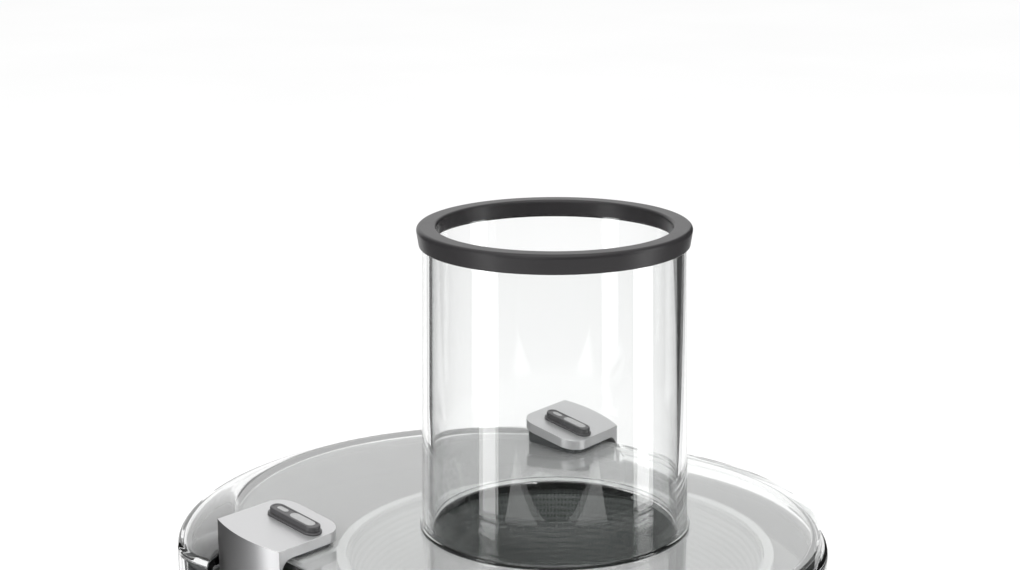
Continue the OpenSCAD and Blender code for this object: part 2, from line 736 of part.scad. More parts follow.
module drip_spout() color([0.70, 0.72, 0.71]) at_axis() difference() {
    floor_z = spout_z - 1.8;
    tip = spout_reach;
    rotate([90, 0, 0]) translate([0, 0, -trough_out / 2]) linear_extrude(trough_out)
        polygon([[spout_end - 14, floor_z - 2.5], [spout_end - 14, spout_z + spout_h + 1],
            [spout_end + 4, spout_z + spout_h + 1], [tip, spout_z + 2], [tip, floor_z - 13],
            [spout_end + 2, floor_z - 2.5]]);
    rotate([90, 0, 0]) translate([0, 0, trough_wall - trough_out / 2])
        linear_extrude(trough_out - 2 * trough_wall)
            polygon([[spout_end - 16, floor_z], [spout_end - 16, spout_z + spout_h + 4],
                [tip + 4, spout_z + spout_h + 4], [tip + 4, floor_z - 11.3], [spout_end + 2.5, floor_z]]);
    translate([spout_pivot_x, -40, spout_pivot_z]) rotate([-90, 0, 0])
        cylinder(h = 80, r = pin_r + run_gap);
}

module spout_pins() color([0.75, 0.75, 0.76]) at_axis()
    for (s = [-1, 1]) translate([spout_pivot_x, s * (spout_w / 2 + 0.2), spout_pivot_z])
        rotate([-90 * s, 0, 0]) cylinder(h = trough_out / 2 - spout_w / 2 + 0.8, r = pin_r);

base_plinth();
base_plate();
rubber_feet();
plate_screws();
base_housing();
steel_jacket();
shaft_seal();
knob_bezel();
speed_knob();
knob_shaft();
rotary_switch();
control_board();
safety_switch();
cord_inlet();
motor_frame();
motor_screws();
stator_core();
field_coils();
upper_bearing();
lower_bearing();
brush_holders();
carbon_brushes();
motor_shaft();
rotor_core();
rotor_windings();
commutator();
cooling_fan();
drive_coupling();
basket_hub();
basket_frame();
filter_basket();
grating_disc();
juice_bowl();
outlet_tube();
bowl_rim();
bowl_seal();
lid_cover();
lid_lugs();
feed_chute();
chute_ring();
clamp_front();
clamp_back();
pad_front();
pad_back();
clamp_brackets();
clamp_pins();
pulp_container();
container_band();
drip_spout();
spout_pins();
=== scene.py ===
from math import atan2, cos, hypot, pi, radians, sin, sqrt
import bpy
from mathutils import Matrix, Vector


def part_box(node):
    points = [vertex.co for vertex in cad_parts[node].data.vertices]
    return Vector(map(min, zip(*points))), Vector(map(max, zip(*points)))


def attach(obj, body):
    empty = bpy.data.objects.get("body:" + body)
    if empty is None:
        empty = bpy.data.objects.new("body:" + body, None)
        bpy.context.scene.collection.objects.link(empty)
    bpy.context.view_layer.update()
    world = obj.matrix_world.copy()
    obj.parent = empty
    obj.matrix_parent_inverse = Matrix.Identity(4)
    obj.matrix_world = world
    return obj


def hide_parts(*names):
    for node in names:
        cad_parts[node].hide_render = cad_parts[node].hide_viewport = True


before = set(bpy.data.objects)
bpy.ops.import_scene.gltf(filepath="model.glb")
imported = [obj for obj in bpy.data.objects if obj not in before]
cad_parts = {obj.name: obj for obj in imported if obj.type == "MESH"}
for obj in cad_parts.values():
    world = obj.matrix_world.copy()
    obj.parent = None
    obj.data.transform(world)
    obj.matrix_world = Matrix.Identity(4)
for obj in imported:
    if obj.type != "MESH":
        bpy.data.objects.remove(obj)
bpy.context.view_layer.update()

mm = 0.001


def middle(node):
    low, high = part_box(node)
    return [(a + b) / 2 for a, b in zip(low, high)]


# Places that many pieces share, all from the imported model
axisX, axisY = middle("chute_ring")[:2]
chuteHigh = 109.4 * mm  # how far the chute stands above the lid's flat top
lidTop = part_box("feed_chute")[1][2] - chuteHigh
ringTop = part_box("chute_ring")[1][2]
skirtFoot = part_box("lid_cover")[0][2]


def clearChoice():
    for item in list(bpy.context.selected_objects):
        item.select_set(False)


def pickOnly(piece):
    clearChoice()
    piece.select_set(True)
    bpy.context.view_layer.objects.active = piece


def rounded(corners, steps=5):
    # corners are (a, b, radius); each corner with a radius becomes an arc
    spots = []
    count = len(corners)
    for i, (a, b, radius) in enumerate(corners):
        here = Vector((a, b))
        if radius <= 0:
            spots.append((a, b))
            continue
        back = Vector(corners[i - 1][:2]) - here
        ahead = Vector(corners[(i + 1) % count][:2]) - here
        half = back.angle(ahead) / 2
        if half > 1.565:  # the corner is as good as straight
            spots.append((a, b))
            continue
        reach = radius * cos(half) / sin(half)
        centre = here + (back.normalized() + ahead.normalized()).normalized() * (radius / sin(half))
        start = here + back.normalized() * reach
        end = here + ahead.normalized() * reach
        a0 = atan2(start.y - centre.y, start.x - centre.x)
        a1 = atan2(end.y - centre.y, end.x - centre.x)
        turn = (a1 - a0 + pi) % (2 * pi) - pi
        for k in range(steps + 1):
            angle = a0 + turn * k / steps
            spots.append((centre.x + radius * cos(angle), centre.y + radius * sin(angle)))
    return spots


def loopPiece(name, spots):
    # a circle primitive whose vertices are put on the loop's spots
    clearChoice()
    bpy.ops.mesh.primitive_circle_add(vertices=len(spots), radius=0.01, location=(0, 0, 0))
    piece = bpy.context.object
    piece.name = name
    piece.data.name = name
    for vertex, spot in zip(piece.data.vertices, spots):
        vertex.co = spot
    return piece


def edit(piece, *work):
    # runs edit-mode work on a piece, with everything in it selected first
    pickOnly(piece)
    bpy.ops.object.mode_set(mode="EDIT")
    bpy.ops.mesh.select_mode(type="VERT")
    bpy.ops.mesh.select_all(action="SELECT")
    for step in work:
        step()
    bpy.ops.object.mode_set(mode="OBJECT")


def tidy(piece, angle=35):
    edit(piece, lambda: bpy.ops.mesh.remove_doubles(threshold=0.00001),
         lambda: bpy.ops.mesh.normals_make_consistent(inside=False))
    pickOnly(piece)
    bpy.ops.object.shade_smooth_by_angle(angle=radians(angle))
    modify(piece, "WEIGHTED_NORMAL", keep_sharp=True)  # keeps long faces optically flat
    return piece


def turned(name, outline, steps=160, centre=None):
    # spins a closed outline of (radius, height) round the upright axis through centre
    x, y = centre or (axisX, axisY)
    piece = loopPiece(name, [(x + r, y, z) for r, z in outline])
    edit(piece, lambda: bpy.ops.mesh.spin(steps=steps, angle=2 * pi, center=(x, y, 0), axis=(0, 0, 1)))
    return tidy(piece)


def extruded(name, spots, push):
    # fills a loop and pushes it out into a prism
    piece = loopPiece(name, spots)
    edit(piece, bpy.ops.mesh.edge_face_add,
         lambda: bpy.ops.mesh.extrude_region_move(TRANSFORM_OT_translate={"value": push}))
    return tidy(piece)


def lofted(name, rings, smooth=35):
    # extrudes a loop from ring to ring and caps both ends; every ring has as many spots
    piece = loopPiece(name, rings[0])
    last = list(range(len(rings[0])))
    for ring in rings[1:]:
        pickOnly(piece)
        bpy.ops.object.mode_set(mode="EDIT")
        bpy.ops.mesh.extrude_edges_move()
        bpy.ops.object.mode_set(mode="OBJECT")
        verts = piece.data.vertices  # the new ring is the selected one, in an order of its own
        fresh = [v.index for v in verts if v.select]
        where = {tuple(round(c, 7) for c in verts[k].co): i for i, k in enumerate(last)}
        order = [0] * len(ring)
        for k in fresh:
            order[where[tuple(round(c, 7) for c in verts[k].co)]] = k
        for i, k in enumerate(order):
            verts[k].co = ring[i]
        last = order
    capRing(piece, range(len(rings[0])))
    capRing(piece, last)
    return tidy(piece, smooth)


def chooseVerts(piece, indices):
    pickOnly(piece)
    bpy.ops.object.mode_set(mode="EDIT")
    bpy.ops.mesh.select_mode(type="VERT")
    bpy.ops.mesh.select_all(action="DESELECT")
    bpy.ops.object.mode_set(mode="OBJECT")
    for k in indices:
        piece.data.vertices[k].select = True
    bpy.ops.object.mode_set(mode="EDIT")


def capRing(piece, indices):
    chooseVerts(piece, indices)
    bpy.ops.mesh.edge_face_add()
    bpy.ops.object.mode_set(mode="OBJECT")


def modify(piece, kind, **settings):
    # adds a modifier and applies it at once
    pickOnly(piece)
    change = piece.modifiers.new(kind.title(), kind)
    for key, value in settings.items():
        setattr(change, key, value)
    bpy.ops.object.modifier_apply(modifier=change.name)


def carve(piece, tool):
    # cuts the tool's shape out of the piece, and uses the tool up
    modify(piece, "BOOLEAN", object=tool, operation="DIFFERENCE", solver="EXACT")
    bpy.data.objects.remove(tool)


def soften(piece, width):
    modify(piece, "BEVEL", width=width, segments=2, limit_method="ANGLE", angle_limit=radians(32))
    return tidy(piece, 40)


def copied(name, node, edge, segments=2, limit=32, smooth=35):
    # a copy of a model node, cleaned up and with its sharp edges eased
    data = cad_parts[node].data.copy()
    data.name = name
    piece = bpy.data.objects.new(name, data)
    bpy.context.collection.objects.link(piece)
    edit(piece, lambda: bpy.ops.mesh.remove_doubles(threshold=0.000005),
         lambda: bpy.ops.mesh.normals_make_consistent(inside=False),
         lambda: bpy.ops.mesh.dissolve_limited(angle_limit=radians(0.6)))
    modify(piece, "BEVEL", width=edge, segments=segments, limit_method="ANGLE", angle_limit=radians(limit))
    return tidy(piece, smooth)


def merged(name, pieces):
    clearChoice()
    for piece in pieces:
        piece.select_set(True)
    bpy.context.view_layer.objects.active = pieces[0]
    bpy.ops.object.join()
    joined = bpy.context.object
    joined.name = name
    joined.data.name = name
    return joined


def finishWhere(piece, material, chosen):
    # gives a second finish to the faces that chosen picks
    piece.data.materials.append(material)
    for face in piece.data.polygons:
        if chosen(face):
            face.material_index = 1


def fit(piece, body, material, slotName, *nodes):
    # puts a finished piece on its body, with its finish
    piece.data.materials.clear()
    piece.data.materials.append(material)
    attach(piece, body)
    if nodes:
        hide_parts(*nodes)
    return piece


class Wire:
    # a node's output that can be used in plain sums
    def __init__(self, finish, socket):
        self.finish = finish
        self.socket = socket

    def sum(self, operation, *others):
        return self.finish.add("Math", {"operation": operation}, dict(enumerate((self,) + others)))

    def __add__(self, other):
        return self.sum("ADD", other)

    def __sub__(self, other):
        return self.sum("SUBTRACT", other)

    def __rsub__(self, other):
        return self.finish.add("Math", {"operation": "SUBTRACT"}, {0: other, 1: self})

    def __mul__(self, other):
        return self.sum("MULTIPLY", other)

    __radd__ = __add__
    __rmul__ = __mul__


class Finish:
    # one material: its surface shader and the nodes that feed it
    def __init__(self, name, **constants):
        self.material = bpy.data.materials.new(name)
        self.material.use_nodes = True
        self.tree = self.material.node_tree
        self.tree.nodes.clear()
        self.surface = self.tree.nodes.new("ShaderNodeBsdfPrincipled")
        output = self.tree.nodes.new("ShaderNodeOutputMaterial")
        self.tree.links.new(self.surface.outputs[0], output.inputs[0])
        for key, value in constants.items():
            self.surface.inputs[key.replace("_", " ")].default_value = value

    def plug(self, socket, value):
        if isinstance(value, Wire):
            self.tree.links.new(value.socket, socket)
        else:
            socket.default_value = value

    def add(self, kind, settings=None, sockets=None, output=0):
        node = self.tree.nodes.new("ShaderNode" + kind)
        for key, value in (settings or {}).items():
            if key == "stops":
                ramp = node.color_ramp.elements
                while len(ramp) < len(value):
                    ramp.new(0.5)
                for stop, (place, colour) in zip(ramp, value):
                    stop.position = place
                    stop.color = colour
            else:
                setattr(node, key, value)
        for key, value in (sockets or {}).items():
            self.plug(node.inputs[key], value)
        return Wire(self, node.outputs[output])

    def feed(self, **sockets):
        for key, value in sockets.items():
            self.plug(self.surface.inputs[key.replace("_", " ")], value)

    def coords(self, stretch=(1, 1, 1)):
        place = self.add("TexCoord", output=3)
        return self.add("Mapping", None, {"Vector": place, "Scale": stretch})

    def noise(self, scale, detail=3, rough=0.5, stretch=(1, 1, 1)):
        return self.add("TexNoise", None, {"Vector": self.coords(stretch), "Scale": scale,
                                           "Detail": detail, "Roughness": rough})

    def blend(self, factor, first, second):
        return self.add("Mix", {"data_type": "RGBA"},
                        {0: factor, 6: (*first, 1), 7: (*second, 1)}, 2)

    def bump(self, height, strength, distance=0.0005):
        self.feed(Normal=self.add("Bump", None, {"Height": height, "Strength": strength,
                                                 "Distance": distance}))


def spread(wire, low, high):
    return wire * (high - low) + low


def clearFinish():
    finish = Finish("clearPlastic", Base_Color=(0.985, 0.99, 0.988, 1), IOR=1.49,
                    Transmission_Weight=1.0)
    smudge = finish.noise(24, 4, 0.6)
    finish.feed(Roughness=spread(smudge * smudge, 0.0, 0.05))
    finish.bump(finish.noise(9, 2, 0.4), 0.05, 0.0006)
    return finish.material


def hazedFinish():
    # the lid's flat top, faintly milky
    finish = Finish("hazedClear", Base_Color=(0.93, 0.94, 0.935, 1), IOR=1.49, Transmission_Weight=0.8)
    clouds = finish.noise(14, 3, 0.5)
    finish.feed(Roughness=spread(clouds, 0.02, 0.10))
    finish.bump(clouds, 0.05, 0.0006)
    return finish.material


def holeShadeFinish():
    # the chute's foot, made nearly black as painted shade for the dark view down the hole
    finish = Finish("holeShadeClear", Base_Color=(0.055, 0.06, 0.058, 1), IOR=1.49, Transmission_Weight=1.0)
    streaks = finish.noise(30, 3, 0.6, (1, 1, 0.15))
    finish.feed(Roughness=spread(streaks, 0.02, 0.10))
    finish.bump(streaks, 0.10, 0.0008)
    return finish.material


def perforatedFinish(name, dark, light, rows, columns):
    # rows of small round holes round a turned sieve, drawn from angle and height
    finish = Finish(name, Metallic=0.4)
    place = finish.add("TexCoord", output=3)
    axes = [finish.add("SeparateXYZ", None, {0: place}, k) for k in range(3)]
    angle = (axes[1] - axisY).sum("ARCTAN2", axes[0] - axisX)
    across = (angle * (columns / (2 * pi))).sum("FRACT") - 0.5
    up = (axes[2] * rows).sum("FRACT") - 0.5
    hole = (across * across + up * up).sum("GREATER_THAN", 0.075)
    clouds = finish.noise(40, 3, 0.5)
    finish.feed(Base_Color=finish.blend(hole * (clouds * 0.4 + 0.6), dark, light),
                Roughness=spread(clouds, 0.30, 0.45))
    finish.bump(hole, 0.6, 0.0004)
    return finish.material


def mouldedFinish(name, dark, light, roughness, grain, relief, coat=0.0, coatRoughness=0.2, shine=0.5):
    # moulded plastic or rubber: faint clouds and a fine grain between a dark and a light shade
    finish = Finish(name, Coat_Weight=coat, Coat_Roughness=coatRoughness, Specular_IOR_Level=shine)
    clouds = finish.noise(60, 4, 0.6)
    speck = finish.noise(grain, 2, 0.7)
    finish.feed(Base_Color=finish.blend(clouds * 0.6 + speck * 0.4, dark, light),
                Roughness=spread(clouds, roughness - 0.05, roughness + 0.06))
    finish.bump(speck, relief, 0.0002)
    return finish.material


def paintedFinish(name, dark, light, roughness):
    # satin metallic paint
    finish = Finish(name, Metallic=0.75)
    speck = finish.noise(2600, 2, 0.8)
    clouds = finish.noise(30, 3, 0.5)
    finish.feed(Base_Color=finish.blend(speck * 0.5 + clouds * 0.5, dark, light),
                Roughness=spread(clouds, roughness - 0.04, roughness + 0.05))
    finish.bump(speck, 0.12, 0.0002)
    return finish.material


def paintedShadeFinish(name, dark, light, roughness, start, end):
    # satin paint with painted shade: darker from one X to another, standing in for an arm turned from the
    # light
    finish = Finish(name, Metallic=0.75)
    place = finish.add("SeparateXYZ", None, {0: finish.coords()})
    across = finish.add("MapRange", {"interpolation_type": "SMOOTHSTEP"}, {0: place, 1: start, 2: end})
    speck = finish.noise(2600, 2, 0.8)
    finish.feed(Base_Color=finish.blend(across * 0.9 + speck * 0.1, dark, light),
                Roughness=spread(speck, roughness - 0.04, roughness + 0.05))
    finish.bump(speck, 0.12, 0.0002)
    return finish.material


def brushedFinish(name, dark, light, stretch=(2, 2, 260)):
    # metal with fine lines; stretch packs them along one axis
    finish = Finish(name, Metallic=1.0)
    lines = finish.noise(9, 5, 0.75, stretch)
    wide = finish.noise(6, 2, 0.5)
    finish.feed(Base_Color=finish.blend(lines, dark, light),
                Roughness=spread(lines * 0.6 + wide * 0.4, 0.22, 0.42))
    finish.bump(lines, 0.25, 0.0002)
    return finish.material


def windingFinish(name, dark, light, scale):
    # wire turns or stacked sheets, one above the other
    finish = Finish(name, Metallic=0.8)
    turns = finish.add("TexWave", {"bands_direction": "Z"},
                       {"Vector": finish.coords(), "Scale": scale, "Distortion": 1.5, "Detail": 2})
    finish.feed(Base_Color=finish.blend(turns, dark, light), Roughness=spread(turns, 0.3, 0.5))
    finish.bump(turns, 0.6, 0.0003)
    return finish.material


finishes = {
    "clear": clearFinish(),
    "hazedClear": hazedFinish(),
    # nearly black clear finish: painted shade for the view down the chute's hole
    "holeShadeClear": holeShadeFinish(),
    "ring": mouldedFinish("ringCharcoal", (0.016, 0.015, 0.016), (0.024, 0.023, 0.024), 0.34, 2200,
                          0.10, shine=0.22),
    "pad": mouldedFinish("padCharcoal", (0.030, 0.029, 0.031), (0.045, 0.044, 0.046), 0.42, 1800,
                         0.15, 0.5, 0.3),
    # pale inlay colour for the pad's top: partly moulded icons, partly a painted highlight and sheen
    "padMark": mouldedFinish("padInlay", (0.14, 0.14, 0.14), (0.42, 0.42, 0.42), 0.30, 1500,
                             0.10, 0.5, 0.15),
    "dark": mouldedFinish("darkMoulding", (0.012, 0.014, 0.013), (0.022, 0.024, 0.023), 0.46, 1500, 0.35),
    "basket": mouldedFinish("basketMoulding", (0.26, 0.27, 0.265), (0.31, 0.32, 0.315), 0.45, 1600, 0.15),
    "rimDark": mouldedFinish("rimMoulding", (0.020, 0.021, 0.021), (0.032, 0.033, 0.033), 0.40, 1600, 0.2),
    "grey": mouldedFinish("greyMoulding", (0.44, 0.455, 0.45), (0.50, 0.515, 0.51), 0.40, 1400, 0.12, 0.2),
    "smoke": mouldedFinish("smokedLug", (0.035, 0.038, 0.039), (0.06, 0.063, 0.064), 0.20, 1500,
                           0.08, 0.8, 0.08),
    "black": mouldedFinish("blackMoulding", (0.012, 0.012, 0.013), (0.022, 0.022, 0.023), 0.42, 1500, 0.25),
    "rubber": mouldedFinish("blackRubber", (0.010, 0.010, 0.010), (0.020, 0.020, 0.020), 0.70, 900, 0.5),
    "seal": mouldedFinish("greyRubber", (0.030, 0.031, 0.031), (0.050, 0.052, 0.052), 0.62, 900, 0.3),
    "silver": paintedFinish("satinSilver", (0.50, 0.50, 0.505), (0.60, 0.60, 0.605), 0.36),
    # painted shade for the clamp arms: dark at one X, light at another
    "armSilverPaintedShade": paintedShadeFinish("armSilverPaintedShade", (0.07, 0.07, 0.07), (0.34, 0.34, 0.345), 0.30, -0.078, -0.048),
    "housing": paintedFinish("silverHousing", (0.34, 0.345, 0.35), (0.40, 0.405, 0.41), 0.42),
    "steel": brushedFinish("brushedJacket", (0.30, 0.305, 0.31), (0.50, 0.505, 0.51)),
    "bright": brushedFinish("brightSteel", (0.60, 0.60, 0.61), (0.75, 0.75, 0.76), (1, 1, 60)),
    "grater": brushedFinish("graterSteel", (0.16, 0.17, 0.17), (0.30, 0.31, 0.31), (60, 3, 3)),
    "mesh": perforatedFinish("sieveSteel", (0.10, 0.105, 0.10), (0.30, 0.31, 0.305), 560, 300),
    "alloy": brushedFinish("castAlloy", (0.40, 0.41, 0.42), (0.50, 0.51, 0.52), (3, 3, 3)),
    "iron": windingFinish("laminatedIron", (0.12, 0.12, 0.13), (0.26, 0.26, 0.27), 420),
    "copper": windingFinish("enamelledCopper", (0.30, 0.10, 0.04), (0.62, 0.27, 0.12), 160),
    "brass": brushedFinish("stampedBrass", (0.52, 0.38, 0.16), (0.72, 0.55, 0.28), (3, 3, 30)),
    "board": mouldedFinish("circuitBoard", (0.02, 0.10, 0.04), (0.04, 0.18, 0.08), 0.35, 700, 0.2),
}
print("finishes made:", len(finishes))


view = {
    "lens": 77.87, "spot": (0.4937, -0.5840, 0.2783),  # from the middle of the chute at the lid's top
    "heading": 41.4, "dip": 13.85, "roll": -0.34,
}


studio = {
    "world": 1.1, "floorSize": 30,
    "flags": {  # to the right of the chute, beyond it, width and height, turned about Z
        "flagLeft": (-0.60, 0.0, (1.7, 1.1), 90),
        "flagRight": (0.60, 0.55, (2.8, 1.1), 90),
        "flagFront": (0, -0.85, (1.2, 1.1), 0)},
    "strips": {"stripLeft": (-0.54, -0.33), "stripRight": (0.54, -0.10)},
    "stripSize": (0.17, 0.8), "stripHigh": 0.32, "stripPower": 1.9,
    "softboxes": {  # place, size, power, what it points at
        "softTop": ((0.2, -0.3, 1.7), (1.4, 1.4), 10, (0, 0, 0.25)),
        "softFront": ((0.55, -1.5, 0.9), (0.35, 1.3), 7, (0, 0, 0.3))},
}


def besideView(side, ahead, height):
    # a place counted from the chute: to the right of the view, away from it, and up
    heading = radians(view["heading"])
    right = Vector((cos(heading), sin(heading), 0))
    away = Vector((-sin(heading), cos(heading), 0))
    return Vector((axisX, axisY, height)) + right * side + away * ahead


def makeCamera():
    camera = bpy.data.objects.new("camera", bpy.data.cameras.new("camera"))
    bpy.context.collection.objects.link(camera)
    camera.data.sensor_width = 36
    camera.data.lens = view["lens"]
    heading, dip, roll = (radians(view[k]) for k in ("heading", "dip", "roll"))
    ahead = Vector((-sin(heading) * cos(dip), cos(heading) * cos(dip), -sin(dip)))
    flat = Vector((cos(heading), sin(heading), 0))
    up = flat.cross(ahead)
    right = flat * cos(roll) + up * sin(roll)
    rise = right.cross(ahead)
    turn = Matrix((right, rise, -ahead)).transposed()
    spot = Vector((axisX, axisY, lidTop)) + Vector(view["spot"])
    camera.matrix_world = Matrix.Translation(spot) @ turn.to_4x4()
    bpy.context.scene.camera = camera


def makeStage():
    clearChoice()
    bpy.ops.mesh.primitive_plane_add(size=studio["floorSize"], location=(0, 0, 0))
    floor = bpy.context.object
    floor.name = "floor"
    finish = Finish("paleFloor", Specular_IOR_Level=0)
    clouds = finish.noise(3, 3, 0.5)
    finish.feed(Base_Color=finish.blend(clouds, (0.86, 0.86, 0.86), (0.90, 0.90, 0.90)),
                Roughness=spread(clouds, 0.55, 0.65))
    floor.data.materials.append(finish.material)
    world = bpy.data.worlds.new("studio")
    bpy.context.scene.world = world
    world.use_nodes = True
    backdrop = world.node_tree.nodes["Background"]
    backdrop.inputs["Color"].default_value = (1.0, 1.0, 1.0, 1)
    backdrop.inputs["Strength"].default_value = studio["world"]


def makeFlag(name, side, ahead, size, turn):
    # a dark studio flag round the view, seen only in reflections and through the clear plastic
    clearChoice()
    bpy.ops.mesh.primitive_plane_add(size=1, location=besideView(side, ahead, size[1] / 2),
                                     rotation=(pi / 2, 0, radians(view["heading"] + turn)))
    flag = bpy.context.object
    flag.name = name
    flag.scale = (size[0], size[1], 1)
    finish = Finish(name + "Cloth", Roughness=0.9)
    weave = finish.noise(400, 2, 0.5)
    finish.feed(Base_Color=finish.blend(weave, (0.015, 0.015, 0.015), (0.03, 0.03, 0.03)))
    flag.data.materials.append(finish.material)
    flag.visible_camera = flag.visible_shadow = flag.visible_diffuse = False


def makeLight(name, spot, size, power, aim):
    lamp = bpy.data.objects.new(name, bpy.data.lights.new(name, "AREA"))
    bpy.context.collection.objects.link(lamp)
    lamp.data.shape = "RECTANGLE"
    lamp.data.size, lamp.data.size_y = size
    lamp.data.energy = power
    lamp.location = spot
    lamp.rotation_euler = (Vector(aim) - Vector(spot)).to_track_quat("-Z", "Y").to_euler()


def makeStrip(name, side, ahead):
    # a tall narrow softbox beside the view, which draws a bright streak down the chute
    high = studio["stripHigh"]
    makeLight(name, besideView(side, ahead, high), studio["stripSize"], studio["stripPower"],
              (axisX, axisY, high))
    bpy.data.objects[name].visible_camera = False


makeCamera()
makeStage()
for name, flag in studio["flags"].items():
    makeFlag(name, *flag)
for name, strip in studio["strips"].items():
    makeStrip(name, *strip)
for name, softbox in studio["softboxes"].items():
    makeLight(name, *softbox)
bpy.context.scene.view_settings.view_transform = "Standard"
print("stage ready")


chute = {"topR": 47.0 * mm, "baseR": 48.5 * mm, "wall": 3.5 * mm, "footR": 47.5 * mm,
         "beadR": 49.3 * mm, "bead": 1.6 * mm, "soft": 0.6 * mm, "holeShadeR": 47 * mm}


def makeChute():
    low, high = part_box("feed_chute")
    top, foot, wall, soft = high[2], low[2], chute["wall"], chute["soft"]
    bead = lidTop + chute["bead"]
    outline = rounded([
        (chute["baseR"] - wall, foot, soft), (chute["footR"], foot, soft), (chute["footR"], lidTop, 0),
        (chute["beadR"], lidTop, 0.2 * mm), (chute["beadR"], bead, 0.7 * mm),
        (chute["baseR"] - 0.02 * mm, bead + 0.2 * mm, 0.2 * mm),
        (chute["topR"], top, soft), (chute["topR"] - wall, top, soft),
        (chute["baseR"] - wall, lidTop, 0)])
    piece = turned("feedChute", outline)
    piece.visible_shadow = False
    fit(piece, "root", finishes["clear"], "clear_plastic", "feed_chute")
    # the chute's foot below the lid gets the nearly black painted-shade finish
    finishWhere(piece, finishes["holeShadeClear"], lambda face: (
        face.center.z < lidTop - 1 * mm
        and hypot(face.center.x - axisX, face.center.y - axisY) < chute["holeShadeR"]))


ring = {"mouthR": 42.0 * mm, "outR": 49.3 * mm, "high": 7.1 * mm, "tubeR": 47.15 * mm,
        "innerR": 43.35 * mm, "lip": 2.6 * mm}


def makeRing():
    top = ringTop
    foot = top - ring["high"]
    outline = rounded([
        (ring["mouthR"], foot + 1.5 * mm, 0.3 * mm), (ring["mouthR"], top, 1.2 * mm),
        (ring["outR"], top, 1.5 * mm), (ring["outR"] - 1.1 * mm, foot, 0.5 * mm),
        (ring["tubeR"], foot, 0.2 * mm), (ring["tubeR"], top - ring["lip"], 0),
        (ring["innerR"], top - ring["lip"], 0), (ring["innerR"], foot + 1.5 * mm, 0.2 * mm)], 6)
    piece = turned("mouthRing", outline)
    fit(piece, "root", finishes["ring"], "ring_plastic", "chute_ring")


makeChute()
makeRing()
print("chute and ring done")


rim = {"nearR": 99.5 * mm, "farR": 121 * mm, "farX": 25 * mm, "cornerR": 28 * mm}
flat = {"nearR": 96.5 * mm, "farR": 90 * mm, "farX": 38 * mm}
lid = {"drop": 5.5 * mm, "wall": 3.0 * mm, "holeR": 47.55 * mm, "rimSoft": 2.2 * mm,
       "insideSoft": 1.2 * mm, "crown": 0.6 * mm,
       "border": ((0.25, 0.30), (0.5, 0.60), (0.72, 0.83), (0.86, 0.94), (0.94, 0.985))}  # in, up
past = 20 * mm  # how far a cutting tool reaches past what it cuts
clamp = {"x": -59.5 * mm, "wide": 32 * mm, "outY": 99.4 * mm, "thick": 3.8 * mm, "reach": 35 * mm,
         "rise": 8 * mm, "slope": 8.5, "soft": 1.4 * mm}
notch = {"y": clamp["outY"] - clamp["thick"] - 0.9 * mm, "wide": clamp["wide"] + 3 * mm, "far": 0.16}


def rimGuide():
    # arc centre, radius and outward direction of each spot of the rim, anticlockwise from the front
    side = rim["nearR"] - rim["cornerR"]
    back = rim["farX"] + sqrt((rim["farR"] - rim["cornerR"]) ** 2 - side ** 2)
    half = atan2(side, back - rim["farX"])
    guide = []
    for k in range(97):
        guide.append((0, 0, rim["nearR"], -pi / 2 + pi * k / 96))
    for k in range(1, 24):
        guide.append((-back * k / 24, 0, rim["nearR"], pi / 2))
    for k in range(13):
        guide.append((-back, side, rim["cornerR"], pi / 2 + (pi / 2 - half) * k / 12))
    for k in range(1, 40):
        guide.append((-rim["farX"], 0, rim["farR"], pi - half + 2 * half * k / 40))
    for k in range(13):
        guide.append((-back, -side, rim["cornerR"], pi + half + (pi / 2 - half) * k / 12))
    for k in range(1, 24):
        guide.append((-back + back * k / 24, 0, rim["nearR"], 3 * pi / 2))
    return guide


def rimSpot(entry, inset):
    x, y, radius, angle = entry
    return (axisX + x + (radius - inset) * cos(angle), axisY + y + (radius - inset) * sin(angle))


def flatDepth(x, y):
    # how far a spot is outside the flat top's outline, less than 0 inside
    px, py = -(x - axisX), abs(y - axisY)
    span = flat["farX"]
    lean = (flat["nearR"] - flat["farR"]) / span
    slope = sqrt(1 - lean * lean)
    along = px * slope - py * lean
    if along <= 0:
        return hypot(px, py) - flat["nearR"]
    if along >= span * slope:
        return hypot(px - span, py) - flat["farR"]
    return px * lean + py * slope - flat["nearR"]


def borderWidths(guide):
    # how far in from the rim the flat top starts, measured square to the rim
    widths = []
    for entry in guide:
        low, high = 0.0, 0.03
        for _ in range(30):
            half = (low + high) / 2
            if flatDepth(*rimSpot(entry, half)) > 0:
                low = half
            else:
                high = half
        widths.append(high)
    return widths


def lidRing(guide, widths, share, extra, height):
    # share runs from 0 at the rim to 1 at the flat top; extra is a further inset
    return [(*rimSpot(entry, width * share + extra), height) for entry, width in zip(guide, widths)]


def rimBlock(name, guide, widths, inset, foot, top, edge):
    # a solid of the lid's outside shape, drawn in by inset, with the rim's upper edge eased
    drop = lid["drop"]
    rings = [lidRing(guide, widths, 0, inset, foot)]
    for k in range(5):
        turn = pi / 2 * k / 4
        rings.append(lidRing(guide, widths, 0, inset + edge * (1 - cos(turn)),
                             top - drop - edge + edge * sin(turn)))
    for share, part in lid["border"]:
        rings.append(lidRing(guide, widths, share, inset + edge * (1 - share), top - drop * (1 - part)))
    rings.append(lidRing(guide, widths, 1.0, inset + lid["crown"], top))
    return lofted(name, rings, 30)


def box(name, low, high):
    clearChoice()
    size = [b - a for a, b in zip(low, high)]
    bpy.ops.mesh.primitive_cube_add(size=1, location=[(a + b) / 2 for a, b in zip(low, high)], scale=size)
    piece = bpy.context.object
    piece.name = name
    bpy.ops.object.transform_apply(location=True, rotation=False, scale=True)
    return piece


def notchTool(side, grow, foot, top):
    # cuts the room for a clamp out of the lid's rim
    x = axisX + clamp["x"]
    half = notch["wide"] / 2 + grow
    near, far = notch["y"] - grow, notch["far"]
    low, high = (near, far) if side > 0 else (-far, -near)
    return box("notchTool", (x - half, low, foot), (x + half, high, top))


